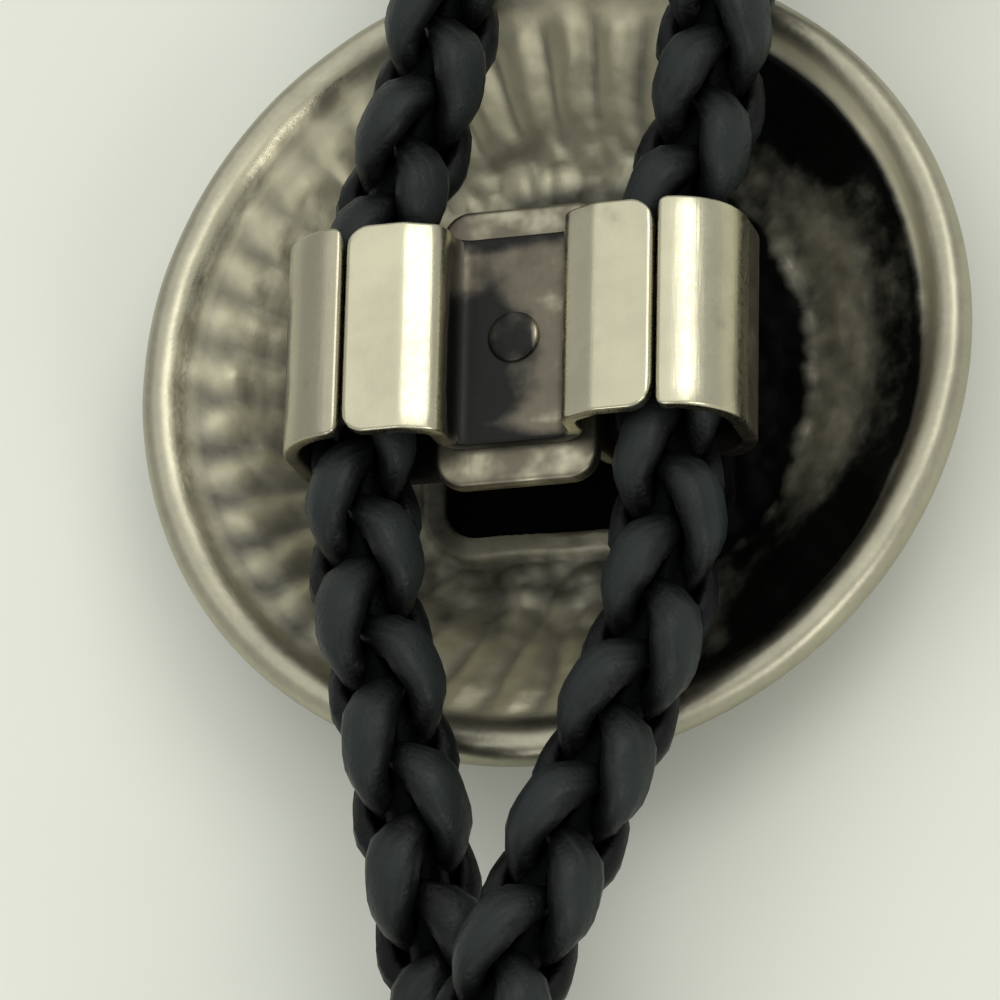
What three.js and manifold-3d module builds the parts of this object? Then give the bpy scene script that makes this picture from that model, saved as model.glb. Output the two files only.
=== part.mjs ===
// A bolo tie lying face down, as it rests on a table: a round concho with a hollow, ribbed
// back, a clip of bent sheet metal riveted to its middle, and one braided leather cord that
// runs through the clip, round the neck and down to two metal tips.
//
// Millimetres, +Z up. The origin is the middle of the concho's flat front, on the table.
// +Y points along the cords towards the neck, and +X across them.

import * as THREE from 'three';
import { mergeVertices } from 'three/addons/utils/BufferGeometryUtils.js';
import Module from 'manifold-3d';

const wasm = await Module();
wasm.setup();

// Gap kept between neighbouring pieces
const gap = 0.3;

// Concho: a cast disc whose ribbed wall rises from a flat floor to a rolled rim. An oblong
// recess with a raised border lies in the floor, and a post stands in it under the clip.
const conchoRadius = 19;
const ribCount = 41;
const ribTurn = THREE.MathUtils.degToRad(3.5);
const ribDepth = 0.55;
const recessSize = new THREE.Vector2(11.7, 13.2);
const recessCorner = 1.5;
const recessFloor = 0.9;
const borderWidth = 1.1;
const borderTop = 1.9;
const postRadius = 2.5;
const postTop = 7.95;
const boreDepth = 2.6;

// Rings of the concho from the middle of the front, out round the rim and back to the middle
// of the back. r and z place the ring, and rib is its share of the rib depth.
const conchoRings = [
  { r: 0, z: 0, rib: 0 },
  { r: 10.4, z: 0, rib: 0 },
  { r: 11.2, z: 0.3, rib: 0 },
  { r: 12.4, z: 1.2, rib: 1 },
  { r: 15.6, z: 3.6, rib: 1 },
  { r: 17.0, z: 4.7, rib: 0 },
  { r: 18.6, z: 5.3, rib: 0 },
  { r: conchoRadius, z: 5.9, rib: 0 },
  { r: 18.9, z: 6.5, rib: 0 },
  { r: 18.4, z: 6.95, rib: 0 },
  { r: 17.7, z: 6.85, rib: 0 },
  { r: 17.0, z: 6.3, rib: 0 },
  { r: 16.4, z: 5.7, rib: 0.2 },
  { r: 15.2, z: 5.0, rib: 1 },
  { r: 12.2, z: 2.7, rib: 1 },
  { r: 11.0, z: 1.8, rib: 0 },
  { r: 10.4, z: 1.6, rib: 0 },
  { r: 0, z: 1.6, rib: 0 },
];

// Cord: four leather strands braided round, made here as the tube that they fill, in two
// lengths that meet behind the neck
const cordDiameter = 5.1;
const cordSides = 8;
const stepsPerPoint = 2;

// Clip: an outer strap cradles each cord and curls over it from outside, a saddle curls over
// it from inside, and the flaps meet in a narrow seam. An oblong foot lies between the two.
const sheet = 0.7;
const sheetLap = 0.05;
const clipCentre = new THREE.Vector2(-0.3, -0.9);
const clipLength = 9.6;
const tubeOffset = 6.65;
const tubeWidth = 5.9;
const tubeHeight = cordDiameter + 1.5 * gap;
const tubeFloor = 6.9;
const seamOffset = 6.98;
const seamWidth = 0.3;
const curlBend = 2.7;
const cradleBend = 1.8;
const strapBend = 0.95;
const saddleWall = 2.95;
const saddleBend = 1;
const facetBend = 0.7;
const facetWidth = 1.4;
const facetDrop = 0.62;
const bendSteps = 6;
const flapCorner = 1.1;
const footSize = new THREE.Vector2(7.3, 12.9);
const footCorner = 1.3;
const footThickness = 0.9;
const strapBottom = postTop + gap;
const footBottom = strapBottom + sheet - sheetLap;
const saddleBottom = footBottom + footThickness - sheetLap;
const flapTop = tubeFloor + tubeHeight + sheet;

// Rivet that holds the clip on the concho's post
const rivetShank = 0.5;
const rivetHead = 1.15;
const rivetHeadHeight = 0.4;
const roundSides = 16;

// Cord tips: plain tapered ferrules with a socket for the cord's end
const tipSocketDepth = 6.5;
const tipSocketRadius = cordDiameter / 2 + gap;
const tipWall = 0.5;
const tipLength = 33;
const tipNose = 1.5;

// The cord's route, from the end of its left stretch up through the clip's left tube, round
// the neck, and down through the right tube. The right stretch crosses over the left one.
const cordRoute = [
  [18.4, -106, 3.5],
  [15.4, -86, 3.6],
  [9.4, -62, 2.7],
  [2.4, -42.5, 3.1],
  [-3.4, -32, 4.9],
  [-4.4, -24.6, 8.3],
  [-5.25, -18.6, 9.75],
  [-6.6, -13, 9.75],
  [-7.2, -6.8, 9.65],
  [-6.85, 4.2, 9.65],
  [-5.2, 9.4, 9.75],
  [-3.75, 16.6, 9.85],
  [-3.1, 22.4, 9.55],
  [-3.2, 31, 7.2],
  [-6, 44, 3.8],
  [-14.5, 62, 2.7],
  [-31, 87, 2.65],
  [-51, 119, 2.65],
  [-65, 156, 2.65],
  [-68, 196, 2.65],
  [-56, 233, 2.65],
  [-30, 261, 2.65],
  [6, 274, 2.65],
  [44, 269, 2.65],
  [77, 247, 2.65],
  [97, 213, 2.65],
  [102, 173, 2.65],
  [93, 134, 2.65],
  [75, 101, 2.65],
  [52, 72, 2.65],
  [32.5, 49, 3],
  [19.6, 34, 5.5],
  [12.2, 24, 9.0],
  [8.9, 16.6, 9.9],
  [8, 9, 9.75],
  [6.55, 4.2, 9.65],
  [6.5, -6.8, 9.65],
  [6.25, -12.6, 9.75],
  [4.3, -18.6, 9.9],
  [1.8, -25, 10.2],
  [-0.8, -31.4, 10.3],
  [-4.6, -38.8, 9.1],
  [-9.6, -49.5, 5.6],
  [-15, -65, 2.8],
  [-19.4, -87, 3.6],
  [-21.6, -107, 3.5],
].map(([x, y, z]) => new THREE.Vector3(x, y, z));
const napePoint = 22;

// Finishes
const darkSilver = new THREE.MeshStandardMaterial({ color: 0x8f8770, roughness: 0.42, metalness: 1 });
const brightNickel = new THREE.MeshStandardMaterial({ color: 0xc9c5ab, roughness: 0.3, metalness: 1 });
const blackLeather = new THREE.MeshStandardMaterial({ color: 0x26282b, roughness: 0.55, metalness: 0 });

// One length of the route between two of its points. Steps follow the points, which lie closer
// together beside the concho, and each end may stop a little short.
class RouteLength extends THREE.Curve {
  constructor(route, firstPoint, lastPoint) {
    super();
    this.route = route;
    this.spans = route.points.length - 1;
    this.firstPoint = firstPoint;
    this.lastPoint = lastPoint;
  }

  getPoint(t, target) {
    const place = THREE.MathUtils.lerp(this.firstPoint, this.lastPoint, t);
    return this.route.getPoint(place / this.spans, target);
  }

  getPointAt(u, target) {
    return this.getPoint(u, target);
  }

  getTangentAt(u, target) {
    return this.getTangent(u, target);
  }
}

// Solids for joining and cutting

function toSolid(geometry) {
  const bare = geometry.clone();
  bare.deleteAttribute('normal');
  bare.deleteAttribute('uv');
  const merged = mergeVertices(bare, 1e-5);
  const index = merged.index.array;
  const triangles = [];
  for (let i = 0; i < index.length; i += 3) {
    const [a, b, c] = [index[i], index[i + 1], index[i + 2]];
    if (a !== b && b !== c && c !== a) triangles.push(a, b, c);
  }
  const mesh = new wasm.Mesh({
    numProp: 3,
    vertProperties: new Float32Array(merged.attributes.position.array),
    triVerts: new Uint32Array(triangles),
  });
  return new wasm.Manifold(mesh);
}

function toGeometry(solid) {
  const mesh = solid.getMesh();
  const geometry = new THREE.BufferGeometry();
  geometry.setAttribute('position', new THREE.BufferAttribute(mesh.vertProperties, 3));
  geometry.setIndex(new THREE.BufferAttribute(mesh.triVerts, 1));
  geometry.computeVertexNormals();
  return geometry;
}

function turned(profile, sides) {
  // A profile of [radius, height] rows turned about +Z
  const points = profile.map(([radius, height]) => new THREE.Vector2(radius, height));
  return new THREE.LatheGeometry(points, sides).rotateX(Math.PI / 2);
}

function plate(size, corner, bottom, thickness) {
  // A flat plate with rounded corners, its middle on the Z axis
  const x = size.x / 2;
  const y = size.y / 2;
  const shape = new THREE.Shape();
  shape.moveTo(x, 0);
  shape.lineTo(x, y - corner);
  shape.absarc(x - corner, y - corner, corner, 0, Math.PI / 2);
  shape.absarc(corner - x, y - corner, corner, Math.PI / 2, Math.PI);
  shape.absarc(corner - x, corner - y, corner, Math.PI, 1.5 * Math.PI);
  shape.absarc(x - corner, corner - y, corner, 1.5 * Math.PI, 2 * Math.PI);
  shape.closePath();
  const settings = { depth: thickness, bevelEnabled: false, curveSegments: bendSteps };
  return new THREE.ExtrudeGeometry(shape, settings).translate(0, 0, bottom);
}

function bentStrip(corners) {
  // A strip of sheet bent along a centre line in XZ and running along Y. The first and last
  // rows are its free edges, and every other row is a corner with the radius of its bend.
  const centre = corners.map(({ x, z }) => new THREE.Vector2(x, z));
  const heading = (i) => centre[i + 1].clone().sub(centre[i]).normalize();
  const side = (direction) => new THREE.Vector2(-direction.y, direction.x);
  const last = corners.length - 1;
  const path = [{ point: centre[0], normal: side(heading(0)) }];
  for (let i = 1; i < last; i += 1) {
    const { bend } = corners[i];
    const before = heading(i - 1);
    const turn = Math.atan2(before.cross(heading(i)), before.dot(heading(i)));
    const hand = Math.sign(turn);
    const start = centre[i].clone().addScaledVector(before, -bend * Math.tan(Math.abs(turn) / 2));
    const pivot = start.addScaledVector(side(before), hand * bend);
    for (let k = 0; k <= bendSteps; k += 1) {
      const normal = side(before).rotateAround(new THREE.Vector2(), turn * k / bendSteps);
      path.push({ point: pivot.clone().addScaledVector(normal, -hand * bend), normal });
    }
  }
  path.push({ point: centre[last], normal: side(heading(last - 1)) });
  const near = path.map(({ point, normal }) => point.clone().addScaledVector(normal, sheet / 2));
  const far = path.map(({ point, normal }) => point.clone().addScaledVector(normal, -sheet / 2));
  const shape = new THREE.Shape([...near, ...far.reverse()]);
  const strip = new THREE.ExtrudeGeometry(shape, { depth: clipLength, bevelEnabled: false });
  return strip.rotateX(Math.PI / 2).translate(0, clipLength / 2, 0);
}

// Pieces

function buildConcho() {
  const profile = conchoRings.map(({ r, z }) => new THREE.Vector2(r, z));
  const disc = new THREE.LatheGeometry(profile, 2 * ribCount, ribTurn);
  const position = disc.attributes.position;
  for (let i = 0; i < position.count; i += 1) {
    const column = Math.floor(i / conchoRings.length);
    const { rib } = conchoRings[i % conchoRings.length];
    const lift = column % 2 === 0 ? 0.5 : -0.5;
    position.setY(i, position.getY(i) + lift * rib * ribDepth);
  }
  disc.rotateX(Math.PI / 2);
  const borderSize = recessSize.clone().addScalar(2 * borderWidth);
  const border = plate(borderSize, recessCorner + borderWidth, recessFloor, borderTop - recessFloor);
  const recess = plate(recessSize, recessCorner, recessFloor, postTop);
  const post = turned([
    [0, recessFloor / 2],
    [postRadius, recessFloor / 2],
    [postRadius, postTop],
    [0, postTop],
  ], 2 * roundSides);
  const boreRadius = rivetShank + gap;
  const bore = turned([
    [0, postTop - boreDepth],
    [boreRadius, postTop - boreDepth],
    [boreRadius, postTop + 1],
    [0, postTop + 1],
  ], roundSides);
  post.translate(clipCentre.x, clipCentre.y, 0);
  bore.translate(clipCentre.x, clipCentre.y, 0);
  const dish = toSolid(disc).add(toSolid(border)).subtract(toSolid(recess));
  return toGeometry(dish.add(toSolid(post)).subtract(toSolid(bore)));
}

function mirrored(corners) {
  // The whole of a bent line, given its half from the middle out to the right free edge
  const left = corners.map((corner) => ({ ...corner, x: -corner.x }));
  return [...corners.toReversed(), ...left];
}

function buildClip() {
  const flapLine = flapTop - sheet / 2;
  const outerWall = tubeOffset + tubeWidth / 2 + sheet / 2;
  const innerWall = tubeOffset - tubeWidth / 2 - sheet / 2;
  const cradleLine = tubeFloor - sheet / 2;
  const flapEdge = seamOffset - seamWidth / 2;
  const strap = bentStrip(mirrored([
    { x: innerWall, z: strapBottom + sheet / 2, bend: strapBend },
    { x: innerWall, z: cradleLine, bend: strapBend },
    { x: outerWall, z: cradleLine, bend: cradleBend },
    { x: outerWall, z: flapLine, bend: curlBend },
    { x: seamOffset + seamWidth / 2, z: flapLine },
  ]));
  const saddle = bentStrip(mirrored([
    { x: saddleWall, z: saddleBottom + sheet / 2, bend: saddleBend },
    { x: saddleWall, z: flapLine - facetDrop, bend: facetBend },
    { x: saddleWall + facetWidth, z: flapLine, bend: facetBend },
    { x: flapEdge, z: flapLine },
  ]));
  const flapOutline = plate(new THREE.Vector2(2 * flapEdge, clipLength), flapCorner, 0, flapTop + 1);
  const foot = plate(footSize, footCorner, footBottom, footThickness);
  const holeRadius = rivetShank + gap;
  const hole = turned([[0, 0], [holeRadius, 0], [holeRadius, flapTop], [0, flapTop]], roundSides);
  const joined = toSolid(saddle).intersect(toSolid(flapOutline)).add(toSolid(strap)).add(toSolid(foot));
  return toGeometry(joined.subtract(toSolid(hole)));
}

function buildRivet() {
  const seat = saddleBottom + sheet + gap / 2;
  const bottom = postTop - boreDepth + gap;
  return turned([
    [0, bottom],
    [rivetShank, bottom],
    [rivetShank, seat],
    [rivetHead, seat],
    [0.8 * rivetHead, seat + 0.7 * rivetHeadHeight],
    [0.4 * rivetHead, seat + rivetHeadHeight],
    [0, seat + rivetHeadHeight],
  ], roundSides);
}

function buildCord(route, firstPoint, lastPoint) {
  const section = new THREE.Shape();
  for (let i = 0; i < cordSides; i += 1) {
    const angle = 2 * Math.PI * (i + 0.5) / cordSides;
    const x = cordDiameter / 2 * Math.cos(angle);
    const y = cordDiameter / 2 * Math.sin(angle);
    if (i === 0) section.moveTo(x, y);
    else section.lineTo(x, y);
  }
  section.closePath();
  const steps = Math.round(stepsPerPoint * (lastPoint - firstPoint));
  const extrudePath = new RouteLength(route, firstPoint, lastPoint);
  return new THREE.ExtrudeGeometry(section, { steps, bevelEnabled: false, extrudePath });
}

function buildTip() {
  // The socket opens at height 0, and the nose points along +Z.
  const mouth = tipSocketRadius + tipWall;
  return turned([
    [0, tipSocketDepth],
    [tipSocketRadius, tipSocketDepth],
    [tipSocketRadius, 0],
    [mouth, 0],
    [mouth, tipSocketDepth + 1.5],
    [tipNose + 0.4, tipLength - 3.5],
    [tipNose, tipLength - 1.6],
    [0.55 * tipNose, tipLength - 0.4],
    [0, tipLength],
  ], roundSides);
}

function placeTip(tip, end, heading) {
  // Seats the tip's socket on the end of the cord, pointing the way that the cord runs.
  tip.quaternion.setFromUnitVectors(new THREE.Vector3(0, 0, 1), heading);
  tip.position.copy(end).addScaledVector(heading, gap - tipSocketDepth);
  return tip;
}

function named(name, geometry, material) {
  const mesh = new THREE.Mesh(geometry, material);
  mesh.name = name;
  return mesh;
}

const route = new THREE.CatmullRomCurve3(cordRoute);
const lastPoint = cordRoute.length - 1;
const napeStep = cordRoute[napePoint].distanceTo(cordRoute[napePoint + 1]);
const napeGap = gap / 2 / napeStep;
const boloTie = new THREE.Group();

const slide = new THREE.Group();
const clip = named('cord_clip', buildClip(), brightNickel);
const rivet = named('clip_rivet', buildRivet(), brightNickel);
clip.position.set(clipCentre.x, clipCentre.y, 0);
rivet.position.copy(clip.position);
slide.add(named('concho', buildConcho(), darkSilver), clip, rivet);

const leftCord = named('braided_cord_left', buildCord(route, 0, napePoint - napeGap), blackLeather);
const rightCord = named('braided_cord_right', buildCord(route, napePoint + napeGap, lastPoint), blackLeather);
const leftTip = placeTip(
  named('cord_tip_left', buildTip(), brightNickel),
  route.getPoint(0),
  route.getTangent(0).negate(),
);
const rightTip = placeTip(
  named('cord_tip_right', buildTip(), brightNickel),
  route.getPoint(1),
  route.getTangent(1),
);

boloTie.add(slide, leftCord, rightCord, leftTip, rightTip);

export default boloTie;
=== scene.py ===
"""Looks of a bolo tie that lies face down on a table.

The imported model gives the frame: a round concho with a hollow ribbed back, a clip of bent
sheet riveted to it, and a leather cord through the clip, round the neck and down to two tips.
This script replaces each plain solid by a detailed mesh in the same place, dresses it with a
procedural finish, and sets up a pale floor, soft studio light and the camera.

Lengths are metres, written as millimetres times MM where a size is given.
"""

from __future__ import annotations

import logging
import math
from dataclasses import dataclass
from enum import Enum
from typing import Iterable, Sequence

import bpy
import numpy as np
from mathutils import Matrix, Vector, noise


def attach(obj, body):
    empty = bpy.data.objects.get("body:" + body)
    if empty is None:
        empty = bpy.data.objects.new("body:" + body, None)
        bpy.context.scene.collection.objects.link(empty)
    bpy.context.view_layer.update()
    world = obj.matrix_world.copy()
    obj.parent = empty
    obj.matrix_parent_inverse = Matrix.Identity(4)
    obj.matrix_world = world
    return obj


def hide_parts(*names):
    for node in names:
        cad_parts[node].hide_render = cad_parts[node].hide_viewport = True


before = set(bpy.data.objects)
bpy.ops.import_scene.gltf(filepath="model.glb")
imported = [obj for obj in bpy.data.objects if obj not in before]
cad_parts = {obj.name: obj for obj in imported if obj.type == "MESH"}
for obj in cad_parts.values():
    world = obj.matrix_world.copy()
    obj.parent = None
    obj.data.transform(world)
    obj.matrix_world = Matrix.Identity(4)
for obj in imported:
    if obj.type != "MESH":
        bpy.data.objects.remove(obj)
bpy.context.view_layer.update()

MM = 0.001
BODY = "root"
log = logging.getLogger("bolo_tie")

Colour = tuple[float, float, float]
Fade = tuple[float, float]
Band = tuple[float, float, float, float]
Patches = tuple[tuple[float, float, float], ...]
Bend = tuple[float, float, float]
Face = tuple[int, ...]
Shell = tuple[np.ndarray, list[Face]]


class Slot(Enum):
    """The record's material slots."""

    CONCHO = "antiqued_silver"
    CLIP = "nickel_sheet"
    CORD = "black_leather"
    TIP = "nickel_tip"


# Shader building


class Signal:
    """A node's output socket that takes part in Python arithmetic."""

    def __init__(self, shader: "Shader", socket: bpy.types.NodeSocket) -> None:
        """Wraps one socket of a shader."""
        self.shader = shader
        self.socket = socket

    def _math(self, operation: str, *values: "Signal | float") -> "Signal":
        """Adds a Math node with its inputs in order, and returns its result."""
        return self.shader.node("ShaderNodeMath", {"operation": operation}, dict(enumerate(values)))

    def __add__(self, other: "Signal | float") -> "Signal":
        """Sum of two signals."""
        return self._math("ADD", self, other)

    def __radd__(self, other: float) -> "Signal":
        """Sum with a number on the left."""
        return self._math("ADD", other, self)

    def __sub__(self, other: "Signal | float") -> "Signal":
        """Difference of two signals."""
        return self._math("SUBTRACT", self, other)

    def __rsub__(self, other: float) -> "Signal":
        """Difference from a number on the left."""
        return self._math("SUBTRACT", other, self)

    def __mul__(self, other: "Signal | float") -> "Signal":
        """Product of two signals."""
        return self._math("MULTIPLY", self, other)

    def __rmul__(self, other: float) -> "Signal":
        """Product with a number on the left."""
        return self._math("MULTIPLY", other, self)

    def step(self, low: float, high: float) -> "Signal":
        """Rises smoothly from 0 at low to 1 at high.

        Args:
            low: the signal's value where the result is 0.
            high: the signal's value where the result is 1.

        Returns:
            The smooth step.
        """
        settings = {"interpolation_type": "SMOOTHSTEP"}
        sockets = {"Value": self, "From Min": low, "From Max": high}
        return self.shader.node("ShaderNodeMapRange", settings, sockets)


class Shader:
    """A material with one Principled BSDF, built node by node."""

    def __init__(self, name: str) -> None:
        """Starts an empty material with its shader and output.

        Args:
            name: the material's name.
        """
        self.material = bpy.data.materials.new(name)
        self.material.use_nodes = True
        self.tree = self.material.node_tree
        self.tree.nodes.clear()
        self.surface = self.tree.nodes.new("ShaderNodeBsdfPrincipled")
        output = self.tree.nodes.new("ShaderNodeOutputMaterial")
        self.tree.links.new(self.surface.outputs[0], output.inputs[0])

    def node(
        self,
        kind: str,
        settings: dict[str, object] | None = None,
        sockets: dict[str | int, object] | None = None,
        output: str | int = 0,
    ) -> Signal:
        """Adds one node.

        Args:
            kind: the node's type.
            settings: its own settings, set before the sockets.
            sockets: values or signals of its inputs, by name or number.
            output: the output that the result stands for.

        Returns:
            The chosen output.
        """
        node = self.tree.nodes.new(kind)
        for name, value in (settings or {}).items():
            setattr(node, name, value)
        for key, value in (sockets or {}).items():
            self._feed(node.inputs[key], value)
        return Signal(self, node.outputs[output])

    def _feed(self, socket: bpy.types.NodeSocket, value: object) -> None:
        """Links a signal to a socket, or sets the socket's value.

        Args:
            socket: the input to feed.
            value: a signal, or a value of the socket's own type.
        """
        if isinstance(value, Signal):
            self.tree.links.new(value.socket, socket)
        else:
            socket.default_value = value

    def dress(self, **sockets: object) -> None:
        """Sets the Principled BSDF's inputs, with spaces in their names as underscores."""
        for name, value in sockets.items():
            self._feed(self.surface.inputs[name.replace("_", " ")], value)

    def place(self) -> Signal:
        """The point's place on the object."""
        return self.node("ShaderNodeTexCoord", output="Object")

    def attribute(self, name: str) -> Signal:
        """A number stored on the mesh's points."""
        return self.node("ShaderNodeAttribute", {"attribute_name": name}, output="Fac")

    def grain(self, place: Signal, scale: float, detail: float, rough: float) -> Signal:
        """Fractal noise from 0 to 1.

        Args:
            place: the coordinates that it follows.
            scale: cells in each metre.
            detail: octaves of finer noise.
            rough: strength of each finer octave.

        Returns:
            The noise.
        """
        sockets = {"Vector": place, "Scale": scale, "Detail": detail, "Roughness": rough}
        return self.node("ShaderNodeTexNoise", None, sockets)

    def cells(self, place: Signal, scale: float) -> Signal:
        """Distance to the nearest of many scattered points, in cells."""
        return self.node("ShaderNodeTexVoronoi", None, {"Vector": place, "Scale": scale})

    def pair(self, across: Signal, along: Signal) -> Signal:
        """Flat coordinates from two numbers."""
        return self.node("ShaderNodeCombineXYZ", None, {0: across, 1: along})

    def stretched(self, place: Signal, factors: Sequence[float]) -> Signal:
        """Coordinates multiplied axis by axis."""
        sockets = {0: place, 1: tuple(factors)}
        return self.node("ShaderNodeVectorMath", {"operation": "MULTIPLY"}, sockets)

    def blend(self, share: Signal, first: "Colour | Signal", second: "Colour | Signal") -> Signal:
        """Mixes two colours.

        Args:
            share: 0 for the first colour and 1 for the second.
            first: a colour, or a signal that holds one.
            second: a colour, or a signal that holds one.

        Returns:
            The mixed colour.
        """
        ends = [c if isinstance(c, Signal) else (*c, 1.0) for c in (first, second)]
        settings = {"data_type": "RGBA", "clamp_factor": True}
        return self.node("ShaderNodeMix", settings, {0: share, 6: ends[0], 7: ends[1]}, output=2)

    def bump(self, height: Signal, depth: float, strength: float) -> Signal:
        """Normals of a fine relief.

        Args:
            height: relief from 0 to 1.
            depth: metres between 0 and 1.
            strength: share of the effect.

        Returns:
            The bumped normal.
        """
        sockets = {"Height": height, "Distance": depth, "Strength": strength}
        return self.node("ShaderNodeBump", None, sockets)


# Finishes


@dataclass(frozen=True)
class AntiqueSilver:
    """Worn silver plate over a cast disc, with dark oxide in the hollows and painted light and shade in
    its relief.
    """

    silver: Colour = (0.60, 0.57, 0.415)
    dull: Colour = (0.25, 0.24, 0.19)
    patina_and_shade: Colour = (0.005, 0.0055, 0.005)

    def material(self) -> bpy.types.Material:
        """Builds the finish, which reads the mesh's relief and polish.

        Returns:
            The material.
        """
        shader = Shader("antique_silver")
        place = shader.place()
        relief = shader.attribute("relief")
        polish = shader.attribute("polish")
        blotch = shader.grain(place, 420.0, 5.0, 0.6)
        speck = shader.grain(place, 2600.0, 3.0, 0.6)
        # The relief carries rubbing, oxide and painted light and shade, so its dark end is partly painted
        # shade and its bright end partly painted light.
        wear_and_painted_light = relief + 0.3 * (blotch - 0.5) + 0.16 * (speck - 0.5)
        dull = shader.blend(wear_and_painted_light.step(-0.05, 0.55), self.patina_and_shade, self.dull)
        colour = shader.blend(wear_and_painted_light.step(0.3, 1.1), dull, self.silver)
        height = (0.6 * blotch + 0.4 * speck) * (1.0 - 0.55 * polish.step(0.5, 1.7))
        shader.dress(
            Base_Color=colour,
            Metallic=0.35 + 0.65 * polish.step(-1.0, 0.0),
            Roughness=0.62 - 0.10 * wear_and_painted_light.step(0.2, 1.0) - 0.18 * polish + 0.12 * (speck - 0.5),
            Normal=shader.bump(height, 0.10 * MM, 0.35),
        )
        return shader.material


@dataclass(frozen=True)
class NickelSheet:
    """Satin nickel plate on bent sheet, scuffed along its length."""

    name: str = "nickel_sheet"
    bright: Colour = (0.56, 0.535, 0.39)
    dim: Colour = (0.48, 0.455, 0.335)
    dimmed: Colour = (0.32, 0.30, 0.225)
    grime_and_shade: Colour = (0.15, 0.134, 0.10)
    black: Colour = (0.006, 0.006, 0.005)
    roughness: float = 0.29

    def material(self) -> bpy.types.Material:
        """Builds the finish, which reads how much dirt and painted shade the mesh carries, and how far it
        is dimmed.

        Returns:
            The material.
        """
        shader = Shader(self.name)
        place = shader.place()
        cloud = shader.grain(place, 300.0, 4.0, 0.6)
        speck = shader.grain(place, 3500.0, 2.0, 0.5)
        brush = shader.grain(shader.stretched(place, (1.0, 0.06, 1.0)), 6000.0, 2.0, 0.5)
        patch = shader.grain(place, 480.0, 3.0, 0.5)
        grime_and_shade = shader.attribute("grime_and_shade") + 1.2 * (patch - 0.5)
        tint = shader.blend(cloud.step(0.3, 0.75), self.bright, self.dim)
        # Dimming: painted shade on the left tube's outer flap, and a lighter dimming of the right tube's
        # inner flap.
        tint = shader.blend(shader.attribute("dimming"), tint, self.dimmed)
        # Dirt and painted shade: a dark brown tint, then black where the mark is deepest.
        soiled_and_shaded = grime_and_shade.step(0.15, 0.65)
        tint = shader.blend(soiled_and_shaded, tint, self.grime_and_shade)
        shader.dress(
            Base_Color=shader.blend(grime_and_shade.step(0.65, 1.25), tint, self.black),
            Metallic=1.0 - 0.4 * grime_and_shade.step(0.5, 1.1),
            Roughness=self.roughness + 0.16 * (cloud - 0.5) + 0.2 * (speck - 0.5) + 0.15 * soiled_and_shaded,
            Normal=shader.bump(0.5 * brush + 0.5 * cloud, 0.04 * MM, 0.35),
        )
        return shader.material


@dataclass(frozen=True)
class WaxedLeather:
    """Black leather strands with a waxed sheen and fine grain."""

    black: Colour = (0.0025, 0.003, 0.003)
    grey: Colour = (0.0195, 0.0245, 0.0242)

    def material(self) -> bpy.types.Material:
        """Builds the finish, which reads how far each point stands out of the braid and paints the low
        parts dark as painted shade.

        Returns:
            The material.
        """
        shader = Shader("waxed_leather")
        place = shader.place()
        crown = shader.attribute("crown")
        cloud = shader.grain(place, 500.0, 4.0, 0.6)
        pores = shader.cells(place, 3200.0)
        crease = shader.grain(place, 1500.0, 6.0, 0.65)
        lanes = shader.pair(shader.attribute("lane"), 90.0 * shader.attribute("reach"))
        fibre = shader.grain(lanes, 4.5, 3.0, 0.6)
        # Painted shade: the colour goes to black where the crown is low, in the braid's gaps, on the
        # strands' undersides and on the core, and these parts turn metallic, which darkens them further;
        # cloud and fibre noise add the leather's own tone.
        tone_and_shade = (crown + 0.6 * (cloud - 0.5) + 0.6 * (fibre - 0.5)).step(0.3, 1.05)
        height = 0.35 * crease + 0.3 * pores.step(0.0, 0.55) + 0.35 * fibre
        shader.dress(
            Base_Color=shader.blend(tone_and_shade, self.black, self.grey),
            Metallic=1.0 - crown.step(0.02, 0.4),
            Roughness=0.46 + 0.18 * (crease - 0.5) - 0.06 * tone_and_shade,
            Normal=shader.bump(height, 0.09 * MM, 0.6),
            Specular_IOR_Level=0.16,
        )
        return shader.material


@dataclass(frozen=True)
class PaleFloor:
    """Matt off-white paper."""

    pale: Colour = (0.76, 0.775, 0.70)
    shade: Colour = (0.72, 0.735, 0.66)

    def material(self) -> bpy.types.Material:
        """Builds the finish.

        Returns:
            The material.
        """
        shader = Shader("pale_floor")
        mottle = shader.grain(shader.place(), 60.0, 3.0, 0.5)
        shader.dress(Base_Color=shader.blend(mottle, self.pale, self.shade), Roughness=0.9)
        return shader.material


# Mesh making


def make_mesh(
    name: str,
    points: np.ndarray,
    faces: Iterable[Sequence[int]],
    numbers: dict[str, np.ndarray] | None = None,
) -> bpy.types.Object:
    """Makes a smooth-shaded mesh object.

    Args:
        name: the object's name.
        points: rows of x, y and z in metres.
        faces: corner numbers of each face.
        numbers: values to store on the points, by attribute name.

    Returns:
        The new object, in the scene.
    """
    mesh = bpy.data.meshes.new(name)
    mesh.from_pydata(points.tolist(), [], [tuple(f) for f in faces])
    for key, values in (numbers or {}).items():
        layer = mesh.attributes.new(key, "FLOAT", "POINT")
        layer.data.foreach_set("value", np.asarray(values, dtype=np.float32))
    mesh.polygons.foreach_set("use_smooth", np.ones(len(mesh.polygons), dtype=bool))
    mesh.update()
    piece = bpy.data.objects.new(name, mesh)
    bpy.context.scene.collection.objects.link(piece)
    return piece


def ring_faces(rings: int, sides: int, first: int = 0) -> list[Face]:
    """Quads between rings of points that each close on themselves.

    Args:
        rings: how many rings there are.
        sides: points in each ring.
        first: number of the first point.

    Returns:
        The faces, which point outwards where rings run counter-clockwise along the way.
    """
    faces = []
    for i in range(rings - 1):
        for j in range(sides):
            k = (j + 1) % sides
            near = first + i * sides
            far = near + sides
            faces.append((near + j, near + k, far + k, far + j))
    return faces


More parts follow.
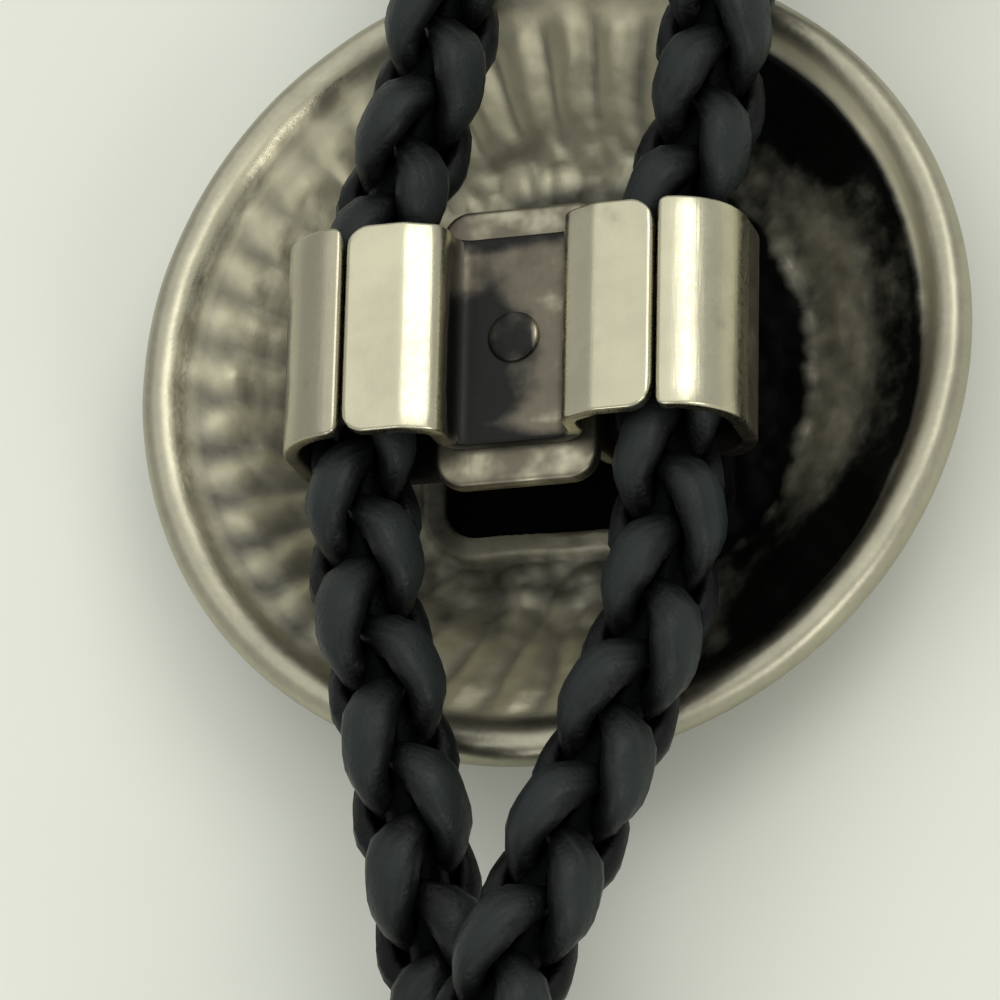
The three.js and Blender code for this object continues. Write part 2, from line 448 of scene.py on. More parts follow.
def tube_faces(rings: int, sides: int, first: int = 0) -> list[Face]:
    """Quads between closed rings of points, and one flat face over each end.

    Args:
        rings: how many rings there are.
        sides: points in each ring.
        first: number of the first point.

    Returns:
        The faces, which point outwards where rings run counter-clockwise along the way.
    """
    start = tuple(range(first, first + sides))
    end = tuple(i + (rings - 1) * sides for i in start)
    return [*ring_faces(rings, sides, first), start[::-1], end]


def turned(rows: Iterable[Sequence[float]], sides: int) -> Shell:
    """Turns a half section about the Z axis.

    Args:
        rows: radius and height of each ring.
        sides: points in each ring.

    Returns:
        The points and faces, closed at both ends.
    """
    turn = 2 * math.pi * np.arange(sides) / sides
    arm = np.column_stack([np.cos(turn), np.sin(turn)])
    rings = [np.column_stack([radius * arm, np.full(sides, z)]) for radius, z in rows]
    return np.vstack(rings), tube_faces(len(rings), sides)


def joined(shells: Sequence[Shell]) -> Shell:
    """Puts several shells together.

    Args:
        shells: points and faces of each.

    Returns:
        One list of points and one of faces.
    """
    faces: list[Face] = []
    count = 0
    for points, own in shells:
        faces += [tuple(count + i for i in face) for face in own]
        count += len(points)
    return np.vstack([points for points, _ in shells]), faces


def unit(rows: np.ndarray) -> np.ndarray:
    """Rows scaled to length 1."""
    return rows / np.linalg.norm(rows, axis=1)[:, None]


def distance_along(points: np.ndarray) -> np.ndarray:
    """How far along a line each of its points lies."""
    legs = np.linalg.norm(np.diff(points, axis=0), axis=1)
    return np.concatenate([[0.0], np.cumsum(legs)])


def resample(rows: np.ndarray, spacing: float, columns: int = 2) -> np.ndarray:
    """Spreads points evenly along a line of rows.

    Args:
        rows: the line's corners, whose first columns are lengths.
        spacing: about the distance between the new points.
        columns: how many columns are lengths.

    Returns:
        The new rows, with the other columns carried along.
    """
    along = distance_along(rows[:, :columns])
    count = max(2, int(round(along[-1] / spacing)) + 1)
    at = np.linspace(0.0, along[-1], count)
    return np.stack([np.interp(at, along, rows[:, c]) for c in range(rows.shape[1])], axis=1)


def softened(rows: np.ndarray, passes: int) -> np.ndarray:
    """Rounds the corners of a line of close points and keeps its ends.

    Args:
        rows: the line's rows.
        passes: how often each row is averaged with its neighbours.

    Returns:
        The rounded rows.
    """
    out = rows.copy()
    for _ in range(passes):
        out[1:-1] = 0.25 * out[:-2] + 0.5 * out[1:-1] + 0.25 * out[2:]
    return out


def smooth_step(values: np.ndarray, low: float, high: float) -> np.ndarray:
    """Rises smoothly from 0 at low to 1 at high."""
    share = np.clip((values - low) / (high - low), 0.0, 1.0)
    return share * share * (3 - 2 * share)


def in_band(values: np.ndarray, band: Band) -> np.ndarray:
    """Rises to 1 between a band's first two limits and falls to 0 between its last two."""
    low, full, still, high = band
    return smooth_step(values, low, full) * smooth_step(-values, -high, -still)


def noise_at(points: np.ndarray, scale: float, octaves: int) -> np.ndarray:
    """Smooth noise from -1 to 1 at each point.

    Args:
        points: rows of x, y and z in metres.
        scale: cells in each metre.
        octaves: layers of ever finer noise.

    Returns:
        One number for each point.
    """
    values = [noise.fractal(Vector(p) * scale, 0.8, 2.0, octaves) for p in points]
    return np.clip(np.array(values), -1.0, 1.0)


def finish_piece(
    piece: bpy.types.Object,
    material: bpy.types.Material,
    nodes: Sequence[str],
) -> None:
    """Dresses a piece, hides the solids that it replaces and ties it to the body.

    Args:
        piece: the new mesh object.
        material: its finish.
        nodes: the plain solids that it replaces.
    """
    piece.data.materials.append(material)
    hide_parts(*nodes)
    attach(piece, BODY)
    log.info("%s: %d points", piece.name, len(piece.data.vertices))


# Pieces


# Half section of the disc, from the middle of the front round the rim to the middle of the back:
# radius and height in millimetres, rib share, pebble share and base shine.
CONCHO_SECTION = [
    (0.0, 0.0, 0, 0, 0.8),
    (6.2, 0.0, 0, 0, 0.8),
    (6.5, 0.12, 0, 0, 0.2),
    (6.9, 0.12, 0, 0, 0.2),
    (7.2, 0.0, 0, 0, 0.8),
    (10.4, 0.0, 0, 0, 0.8),
    (11.2, 0.3, 0, 0, 0.5),
    (12.4, 1.2, 1, 0, 0.5),
    (15.6, 3.6, 1, 0, 0.5),
    (16.9, 4.6, 0, 0, 0.3),
    (18.5, 5.2, 0, 0, 0.5),
    (18.95, 5.7, 0, 0, 0.6),
    (18.95, 6.3, 0, 0, 0.65),
    (18.6, 6.85, 0, 0, 0.65),
    (18.1, 7.02, 0, 0, 0.6),
    (17.55, 6.85, 0, 0, 0.55),
    (17.1, 6.4, 0, 0, 0.5),
    (16.6, 5.9, 0.1, 0, 0.5),
    (16.1, 5.5, 0.5, 0, 0.6),
    (15.2, 4.95, 1, 0, 0.72),
    (13.0, 3.3, 1, 0, 0.72),
    (12.5, 2.92, 0.6, 0.1, 0.5),
    (12.0, 2.55, 0.1, 0.6, 0.3),
    (11.4, 2.1, 0, 1, 0.42),
    (10.4, 1.6, 0, 1, 0.38),
    (9.6, 1.6, 0, 1, 0.33),
    (0.0, 1.6, 0, 1, 0.33),
]


@dataclass
class Concho:
    """The round disc with a ribbed, hollow back.

    Patches are rows of direction and width in degrees, and amount. Fades and bands are the
    places between which something fades in, or in and out. Noise is in cells in each metre.
    """

    ribs: int = 41
    rib_turn: float = math.radians(1.3)
    rib_depth: float = 0.32 * MM
    columns_per_rib: int = 10
    spacing: float = 0.3 * MM
    pebble: float = 1.15 * MM
    pebble_height: float = 0.30 * MM
    knob_radius: float = 15.6 * MM
    knob_length: float = 0.9 * MM
    knob_height: float = 0.15 * MM
    recess_half: tuple[float, float] = (5.85 * MM, 6.6 * MM)
    recess_corner: float = 1.5 * MM
    recess_floor: float = 0.9 * MM
    recess_waver: float = 0.08 * MM
    border_width: float = 1.1 * MM
    border_top: float = 1.9 * MM
    floor_level: float = 1.6 * MM
    floor_radius: float = 10.3 * MM
    rim_level: float = 6.0 * MM
    rim_dents: float = 0.07 * MM
    post_place: tuple[float, float] = (-0.3 * MM, -0.9 * MM)
    post_radius: float = 2.5 * MM
    post_top: float = 7.95 * MM
    post_edge: float = 0.15 * MM
    post_sides: int = 48
    wall_band: Band = (9.4 * MM, 10.6 * MM, 16.6 * MM, 17.0 * MM)
    slope_band: Band = (16.4 * MM, 16.8 * MM, 17.2 * MM, 17.9 * MM)
    corner_band: Band = (14.9 * MM, 15.6 * MM, 16.6 * MM, 17.2 * MM)
    cloud_band: Band = (10.2 * MM, 11.2 * MM, 12.2 * MM, 13.2 * MM)
    floor_fade: Fade = (9.8 * MM, 11.2 * MM)
    shade_fade: Fade = (13.0 * MM, 15.0 * MM)
    rim_fade: Fade = (16.6 * MM, 17.2 * MM)
    recess_fade: Fade = (-0.15 * MM, 0.18 * MM)
    border_fade: Fade = (-0.1 * MM, 0.3 * MM)
    ledge_end: Fade = (5.2 * MM, 6.2 * MM)
    ledge_side: Fade = (4.0 * MM, 5.6 * MM)
    broad_noise: float = 260.0
    fine_noise: float = 1100.0
    rib_middle: float = 0.6
    # Edge patches paint light and shade on the rim's inner slope by direction round the disc, with a
    # painted highlight line at 145 degrees.
    edge_patches: Patches = ((35, 35, 0.8), (145, 22, 0.5), (180, 60, 0.4), (-62, 50, -0.45))
    matte_patches: Patches = ((38, 38, 1.0), (148, 32, -0.38))
    front_rib_depth: float = 0.5
    rib_patches: Patches = ((180, 60, 0.28), (92, 36, 1.0), (-97, 30, 0.8))
    # Painted light and shade on the wall, by direction round the disc.
    patches: Patches = (
        (135, 25, 0.3),
        (95, 30, 0.5),
        (-150, 24, -0.05),
        (-97, 20, 0.32),
        (50, 19, -0.6),
        (5, 32, -0.12),
        (-42, 16, -0.65),
        (-65, 16, -0.3),
    )

    def profile(self) -> np.ndarray:
        """The disc's section in close rows.

        Returns:
            Rows of radius, height, rib share, pebble share and base shine.
        """
        rows = np.array(CONCHO_SECTION)
        rows[:, :2] *= MM
        floor = resample(rows[-2:], 0.5 * self.spacing)
        return softened(np.vstack([resample(rows[:-1], self.spacing), floor[1:]]), 2)

    def pebbles(self, points: np.ndarray) -> np.ndarray:
        """Height of rounded grains scattered over the floor.

        Args:
            points: rows of x, y and z in metres.

        Returns:
            One number from -0.5 to 0.5 for each point.
        """
        values = []
        for p in points:
            near, _ = noise.voronoi(Vector((p[0], p[1], 0.0)) / self.pebble)
            values.append(0.5 - 1.3 * near[0] ** 1.4)
        return np.clip(np.array(values), -0.5, 0.5)

    @staticmethod
    def by_direction(patches: Patches, turn: np.ndarray) -> np.ndarray:
        """Patches by direction round the disc: painted light and shade in the relief, rib contrast and
        extra polish.

        Args:
            patches: rows of direction and width in degrees, and amount.
            turn: directions in radians.

        Returns:
            The sum of the patches in each direction.
        """
        total = np.zeros_like(turn)
        for degrees, width, amount in patches:
            away = np.degrees(np.angle(np.exp(1j * (turn - math.radians(degrees)))))
            total += amount * np.exp(-((away / width) ** 2))
        return total

    def from_recess(self, x: np.ndarray, y: np.ndarray) -> np.ndarray:
        """Distance from the oblong recess's edge.

        Args:
            x: places across.
            y: places along.

        Returns:
            The distance outside the edge, negative inside it.
        """
        corner = self.recess_corner
        dx = np.abs(x) - self.recess_half[0] + corner
        dy = np.abs(y) - self.recess_half[1] + corner
        outside = np.hypot(np.maximum(dx, 0), np.maximum(dy, 0))
        return outside + np.minimum(np.maximum(dx, dy), 0) - corner

    def recess(self, x: np.ndarray, y: np.ndarray, waver: np.ndarray) -> tuple[np.ndarray, ...]:
        """The oblong recess and its raised border.

        Args:
            x: places across.
            y: places along.
            waver: noise that moves the recess's edge.

        Returns:
            The level there, the share risen out of the recess, and the share fallen off the border.
        """
        edge = self.from_recess(x, y) + self.recess_waver * waver
        rise = smooth_step(edge, *self.recess_fade)
        fall = smooth_step(edge, *(self.border_width + place for place in self.border_fade))
        level = self.recess_floor + (self.border_top - self.recess_floor) * rise
        return level - (self.border_top - self.floor_level) * fall, rise, fall

    def post(self) -> Shell:
        """The post under the clip.

        Returns:
            Its points and faces.
        """
        rows = [
            (self.post_radius, 0.5 * self.recess_floor),
            (self.post_radius, self.post_top - self.post_edge),
            (self.post_radius - self.post_edge, self.post_top),
        ]
        points, faces = turned(rows, self.post_sides)
        return points + [*self.post_place, 0.0], faces

    @staticmethod
    def closed(points: np.ndarray) -> Shell:
        """Closes rings of points, whose first and last shrink to one point each.

        Args:
            points: rings of points, from the middle of the front to the middle of the back.

        Returns:
            The points, with the two single points last, and the faces.
        """
        rings, sides = points.shape[:2]
        inner = points[1:-1].reshape(-1, 3)
        poles = np.array([[0.0, 0.0, points[0, 0, 2]], [0.0, 0.0, points[-1, 0, 2]]])
        faces = ring_faces(rings - 2, sides)
        last = (rings - 3) * sides
        front, top = len(inner), len(inner) + 1
        faces += [(front, (j + 1) % sides, j) for j in range(sides)]
        faces += [(top, last + j, last + (j + 1) % sides) for j in range(sides)]
        return np.vstack([inner, poles]), faces

    def build(self) -> bpy.types.Object:
        """Makes the disc's mesh.

        Returns:
            The disc, with its relief and polish stored on its points.
        """
        profile = self.profile()
        rings, sides = len(profile), self.ribs * self.columns_per_rib
        turn = 2 * math.pi * np.arange(sides) / sides
        radius, height, rib, grains, shine = (profile[:, c][:, None] for c in range(5))
        x, y = radius * np.cos(turn), radius * np.sin(turn)
        points = np.stack([x, y, height + 0 * turn], axis=2)
        broad = noise_at(points.reshape(-1, 3), self.broad_noise, 2).reshape(rings, sides)
        fine = noise_at(points.reshape(-1, 3), self.fine_noise, 3).reshape(rings, sides)
        wave = (0.5 + 0.5 * np.cos(self.ribs * (turn - self.rib_turn) + 0.75 * broad)) ** 0.55
        back = (np.arange(rings)[:, None] > np.argmax(radius)) * 1.0
        right = back * smooth_step(np.cos(turn), 0.25, 0.75)
        left = smooth_step(-np.cos(turn), 0.1, 0.6)
        rib = rib * (1 - 0.6 * right)
        knob = back * (1 - right) * np.exp(-(((radius - self.knob_radius) / self.knob_length) ** 2))
        wall = back * in_band(radius, self.wall_band)
        slope = back * in_band(radius, self.slope_band)
        corner = back * in_band(radius, self.corner_band)
        in_floor = back * (radius < self.floor_radius)
        pebbled = np.zeros((rings, sides))
        rough = grains[:, 0] > 0.02
        pebbled[rough] = self.pebbles(points[rough].reshape(-1, 3)).reshape(-1, sides)
        level, rise, fall = self.recess(x, y, broad)
        ledge = rise * (1 - fall)
        grains = grains * (1 - in_floor * (1 - 0.25 * ledge - fall))
        ridge = rib * (wave - self.rib_middle)

        lift = in_floor * (level - self.floor_level)
        lift += ridge * self.rib_depth * (1 + 0.35 * broad)
        lift += knob * (wave**3) * self.knob_height * (1 + 0.5 * fine)
        lift += grains * pebbled * self.pebble_height
        lift += wall * (1 + right) * (0.07 * fine + 0.22 * right * broad) * MM
        lift += back * (height > self.rim_level) * broad * self.rim_dents
        points[:, :, 2] += lift

        ends = smooth_step(np.abs(y), *self.ledge_end) * (1 - smooth_step(np.abs(x), *self.ledge_side))
        depth = back * self.by_direction(self.rib_patches, turn) + (1 - back) * self.front_rib_depth
        # Inside the recess under the clip's foot the relief drops by 0.9, painting it black: painted
        # shade. Its border is lighter at the recess's two ends.
        relief = shine + in_floor * (ledge * (0.45 * ends - 0.1) - 0.9 * (1 - rise))
        relief += ridge * depth
        relief += knob * (wave**2 - 0.2) * 0.45 + grains * pebbled * 0.3
        # Painted light and shade by direction round the disc: on the wall from its patches, and on the
        # rim's inner slope from the edge patches two lines below.
        relief += wall * (self.by_direction(self.patches, turn) + 0.11 * (broad + fine))
        # Painted shade on the right side of the dish: on the wall's outer part here and on the floor's
        # inner part in the last line; the ring at the floor's edge is lightened as painted light.
        relief -= 0.5 * wall * right * smooth_step(radius, *self.shade_fade)
        relief += slope * self.by_direction(self.edge_patches, turn)
        relief += right * 0.33 * in_band(radius, self.cloud_band)
        relief -= right * 0.5 * (1 - smooth_step(radius, *self.floor_fade))
        polish = smooth_step(radius, *self.rim_fade) * back + (1 - back)
        polish = polish - 1.6 * slope * self.by_direction(self.matte_patches, turn) - 0.6 * corner * left

        post = self.post()
        disc, faces = joined([self.closed(points), post])
        numbers = {}
        for name, values in (("relief", relief), ("polish", polish)):
            poles = [values[0].mean(), values[-1].mean()]
            plain = np.zeros(len(post[0]))
            numbers[name] = np.concatenate([values[1:-1].ravel(), poles, plain])
        return make_mesh("concho_cast", disc, faces, numbers)

    def dress(self, piece: bpy.types.Object) -> None:
        """Gives the disc its finish."""
        finish_piece(piece, AntiqueSilver().material(), ["concho"])


@dataclass
class CordClip:
    """The clip of bent sheet: a strap under the cords, a foot and a saddle on it."""

    centre: tuple[float, float] = (-0.3 * MM, -0.9 * MM)
    sheet: float = 0.7 * MM
    length: float = 9.6 * MM
    inner_wall: float = 3.35 * MM
    saddle_wall: float = 2.95 * MM
    outer_wall: float = 9.95 * MM
    seam_offset: float = 6.98 * MM
    seam_width: float = 0.16 * MM
    cradle_level: float = 6.55 * MM
    strap_level: float = 8.6 * MM
    saddle_level: float = 10.1 * MM
    flap_level: float = 12.8 * MM
    curl_bend: float = 2.7 * MM
    cradle_bend: float = 1.8 * MM
    strap_bend: float = 0.95 * MM
    saddle_bend: float = 1.0 * MM
    facet: tuple[float, float] = (1.4 * MM, 0.62 * MM)
    facet_bend: float = 0.7 * MM
    flap_corner: float = 1.1 * MM
    curl_corner: float = 0.45 * MM
    edge_round: float = 0.16 * MM
    edge_left: float = 0.45
    foot_size: tuple[float, float] = (7.3 * MM, 12.9 * MM)
    foot_corner: float = 1.3 * MM
    foot_round: float = 0.3 * MM
    foot_inset: float = 1.2 * MM
    foot_sides: int = 96
    foot_levels: tuple[float, float] = (8.9 * MM, 9.8 * MM)
    rivet_radius: float = 1.15 * MM
    rivet_height: float = 0.35 * MM
    rivet_brim: float = 0.08 * MM
    shank_radius: float = 0.5 * MM
    rivet_sides: int = 40
    rivet_gap: float = 0.02 * MM
    shank_end: float = 5.7 * MM
    bend_steps: int = 25
    line_spacing: float = 0.14 * MM
    section_steps: int = 14

    def centre_line(self, corners: Sequence[Bend]) -> np.ndarray:
        """Bends a line of corners into arcs.

        Args:
            corners: rows of x, z and bend radius; the ends are free edges.

        Returns:
            Rows of x, z and the sheet's upward normal, closely spaced.
        """
        rows = np.array(corners)
        line = [rows[0, :2]]
        for before, corner, after in zip(rows[:-2], rows[1:-1], rows[2:]):
            into = corner[:2] - before[:2]
            into /= np.linalg.norm(into)
            out = after[:2] - corner[:2]
            out /= np.linalg.norm(out)
            turn = math.atan2(into[0] * out[1] - into[1] * out[0], into @ out)
            start = corner[:2] - into * corner[2] * math.tan(abs(turn) / 2)
            side = np.array([-into[1], into[0]]) * math.copysign(1.0, turn)
            pivot = start + side * corner[2]
            for share in np.linspace(0.0, 1.0, self.bend_steps):
                c, s = math.cos(turn * share), math.sin(turn * share)
                arm = -side * corner[2]
                line.append(pivot + np.array([c * arm[0] - s * arm[1], s * arm[0] + c * arm[1]]))
        line.append(rows[-1, :2])
        path = resample(np.array(line), self.line_spacing)
        heading = unit(np.gradient(path, axis=0))
        return np.column_stack([path, -heading[:, 1], heading[:, 0]])

    def edge_section(self, half: float) -> np.ndarray:
        """Section of the sheet across the strip, with rounded edges.

        Args:
            half: half the strip's length along Y.

        Returns:
            Rows of place along Y and place through the sheet.
        """
        r = self.edge_round
        deep = self.sheet / 2
        quarter = np.radians([0, 30, 60, 90])
        inset = np.linspace(half - r, r - half, self.section_steps)
        top = np.column_stack([inset, np.full(self.section_steps, deep)])
        rows = []
        for sign in (1, -1):
            arc = np.column_stack([half - r + r * np.cos(quarter), deep - r + r * np.sin(quarter)])
            far = np.column_stack([r - half - r * np.sin(quarter), deep - r + r * np.cos(quarter)])
            rows += [sign * arc[:-1], sign * top, sign * far[1:]]
        return np.vstack(rows)

    def strip(self, half_line: Sequence[Bend], corner: float) -> Shell:
        """Sweeps the sheet's section along a bent line.

        Args:
            half_line: rows of x, z and bend radius, from the middle to the right free edge.
            corner: radius of the free edges' corners.

        Returns:
            The strip's points and faces.
        """
        corners = [*reversed(half_line), *((-x, z, bend) for x, z, bend in half_line)]
        line = self.centre_line(corners)
        along = distance_along(line[:, :2])
        to_end = np.minimum(along, along[-1] - along)
        short = np.clip(corner - to_end, 0.0, corner)
        halves = self.length / 2 - corner + np.sqrt(np.maximum(corner**2 - short**2, 1e-12))
        thin = np.clip(to_end / self.edge_round, 0.0, 1.0)
        depth = 1 - (1 - self.edge_left) * (1 - np.sqrt(1 - (1 - thin) ** 2))
        rings = []
        for (x, z, right, up), half, deep in zip(line, halves, depth):
            y, through = self.edge_section(half).T
            rings.append(np.column_stack([x + right * through * deep, y, z + up * through * deep]))
        return np.vstack(rings), tube_faces(len(rings), len(rings[0]))

    def foot(self) -> Shell:
        """The oblong plate between the strap and the saddle.

        Returns:
            Its points and faces.
        """
        half = np.array(self.foot_size) / 2
        corner, sides = self.foot_corner, self.foot_sides
        off_axis = 0.01
        turn = 2 * math.pi * np.arange(sides) / sides + off_axis
        arm = np.column_stack([np.cos(turn), np.sin(turn)])
        outline = np.sign(arm) * (half - corner) + arm * corner
        low, high = self.foot_levels
        r, inset = self.foot_round, -self.foot_inset
        bend = np.radians([90, 60, 30, 0])
        rows = [(inset, low)]
        rows += [(r * math.cos(a) - r, low + r - r * math.sin(a)) for a in bend]
        rows += [(r * math.cos(a) - r, high - r + r * math.sin(a)) for a in reversed(bend)]
        rows += [(inset, high)]
        rings = [np.column_stack([outline + arm * out, np.full(sides, z)]) for out, z in rows]
        return np.vstack(rings), tube_faces(len(rings), sides)

    def soil_and_shade(self, points: np.ndarray) -> np.ndarray:
        """How much dirt and painted shade each point takes, most of it in the web between the flaps.

        Args:
            points: rows of x, y and z about the clip's middle.

        Returns:
            One number for each point, where 0 is clean and 1 or more is black.
        """
        x, y, z = points.T / MM
        above_foot = z > self.foot_levels[1] / MM + 0.02
        # Painted shade with dirt in the web: darker towards the web's floor, darker across its left half,
        # which is partly stained and partly painted shade, and a painted shadow line along the web's ends.
        low = np.clip((np.where(x < 0, 12.3, 11.4) - z) / 0.9, 0.0, 1.0)
        inside = np.clip((3.6 - np.abs(x)) / 0.6, 0.0, 1.0)
        stain_and_shade = smooth_step(-x, -1.9, 1.3) * smooth_step(-np.abs(y + 1.0), -5.8, -1.2)
        end = smooth_step(np.abs(y), 4.5, 4.7) * (z < 10.6)
        web = above_foot * low * np.maximum(inside, stain_and_shade) * (0.62 + 0.9 * stain_and_shade + 0.7 * end)
        # Painted shade low on the outer walls and deep in the cradles under the cords; the foot is
        # darkened evenly, more at its +Y end.
        outside = smooth_step(np.abs(x), 8.5, 9.5) * np.clip((10.5 - z) / 2.0, 0.0, 1.0)
        cradle = 1.1 * smooth_step(-z, -9.2, -7.8) * (np.abs(x) > 4.0)
        foot = ~above_foot * np.where(y > 0, 0.6, 0.47)
        return np.maximum.reduce([web, foot, cradle, 0.3 * outside])

    def dimming(self, points: np.ndarray) -> np.ndarray:
        """How far the plate is dimmed: most on the left tube's outer flap, as painted shade where it
        slopes away from the light, less on the right's inner one.

        Args:
            points: rows of x, y and z about the clip's middle.

        Returns:
            One number from 0 to 1 for each point.
        """
        x = points[:, 0] / MM
        left = smooth_step(-x, 6.85, 7.1)
        right = smooth_step(x, 2.8, 3.6) * smooth_step(-x, -7.1, -6.85)
        return 0.7 * left + 0.2 * right

    def build(self) -> bpy.types.Object:
        """Makes the clip's mesh from its strap, foot and saddle.

        Returns:
            The clip.
        """
        curl_edge = self.seam_offset + self.seam_width / 2
        flap_edge = self.seam_offset - self.seam_width / 2
        strap = [
            (self.inner_wall, self.strap_level, self.strap_bend),
            (self.inner_wall, self.cradle_level, self.strap_bend),
            (self.outer_wall, self.cradle_level, self.cradle_bend),
            (self.outer_wall, self.flap_level, self.curl_bend),
            (curl_edge, self.flap_level, 0.0),
        ]
        saddle = [
            (self.saddle_wall, self.saddle_level, self.saddle_bend),
            (self.saddle_wall, self.flap_level - self.facet[1], self.facet_bend),
            (self.saddle_wall + self.facet[0], self.flap_level, self.facet_bend),
            (flap_edge, self.flap_level, 0.0),
        ]
        strips = [self.strip(strap, self.curl_corner), self.strip(saddle, self.flap_corner)]
        points, faces = joined([*strips, self.foot()])
        numbers = {"grime_and_shade": self.soil_and_shade(points), "dimming": self.dimming(points)}
        return make_mesh("cord_clip_sheet", points + [*self.centre, 0.0], faces, numbers)

    def build_rivet(self) -> bpy.types.Object:
        """Makes the rivet's domed head and shank.

        Returns:
            The rivet.
        """
        seat = self.saddle_level + self.sheet / 2 + self.rivet_gap
        r, shank = self.rivet_radius, self.shank_radius
        brim, dome = seat + self.rivet_brim, self.rivet_height - self.rivet_brim
        rows = [(shank, self.shank_end), (shank, seat), (r, seat), (r, brim)]
        rise = np.radians(np.linspace(8, 84, 10))
        rows += [(r * math.cos(a), brim + dome * math.sin(a)) for a in rise]
        points, faces = turned(rows, self.rivet_sides)
        # The head is painted dark, dirt and painted shade as on the web around it, with a lighter ring
        # near its edge as a painted highlight.
        grime_and_shade = 1.15 - 0.95 * smooth_step(points[:, 0] / r, 0.7, 0.95)
        numbers = {"grime_and_shade": grime_and_shade, "dimming": np.zeros(len(points))}
        return make_mesh("rivet_domed", points + [*self.centre, 0.0], faces, numbers)

    def dress(self, clip: bpy.types.Object, rivet: bpy.types.Object) -> None:
        """Gives the clip and its rivet their finish.

        Args:
            clip: the clip's mesh.
            rivet: the rivet's mesh.
        """
        material = NickelSheet().material()
        finish_piece(clip, material, ["cord_clip"])
        finish_piece(rivet, material, ["clip_rivet"])


# The cord's route in millimetres, as in the part's source: from the end of the left stretch up
# through the clip's left tube, round the neck, and down through the right tube.
CORD_ROUTE = [
    (18.4, -106, 3.5), (15.4, -86, 3.6), (9.4, -62, 2.7), (2.4, -42.5, 3.1),
    (-3.4, -32, 4.9), (-4.4, -24.6, 8.3), (-5.25, -18.6, 9.75), (-6.6, -13, 9.75),
    (-7.2, -6.8, 9.65), (-6.85, 4.2, 9.65), (-5.2, 9.4, 9.75), (-3.75, 16.6, 9.85),
    (-3.1, 22.4, 9.55), (-3.2, 31, 7.2), (-6, 44, 3.8), (-14.5, 62, 2.7),
    (-31, 87, 2.65), (-51, 119, 2.65), (-65, 156, 2.65), (-68, 196, 2.65),
    (-56, 233, 2.65), (-30, 261, 2.65), (6, 274, 2.65), (44, 269, 2.65),
    (77, 247, 2.65), (97, 213, 2.65), (102, 173, 2.65), (93, 134, 2.65),
    (75, 101, 2.65), (52, 72, 2.65), (32.5, 49, 3), (19.6, 34, 5.5),
    (12.2, 24, 9.0), (8.9, 16.6, 9.9), (8, 9, 9.75), (6.55, 4.2, 9.65),
    (6.5, -6.8, 9.65), (6.25, -12.6, 9.75), (4.3, -18.6, 9.9), (1.8, -25, 10.2),
    (-0.8, -31.4, 10.3), (-4.6, -38.8, 9.1), (-9.6, -49.5, 5.6), (-15, -65, 2.8),
    (-19.4, -87, 3.6), (-21.6, -107, 3.5),
]


class Lay(Enum):
    """The two ways that a strand winds round the cord."""

    RIGHT = 1
    LEFT = -1


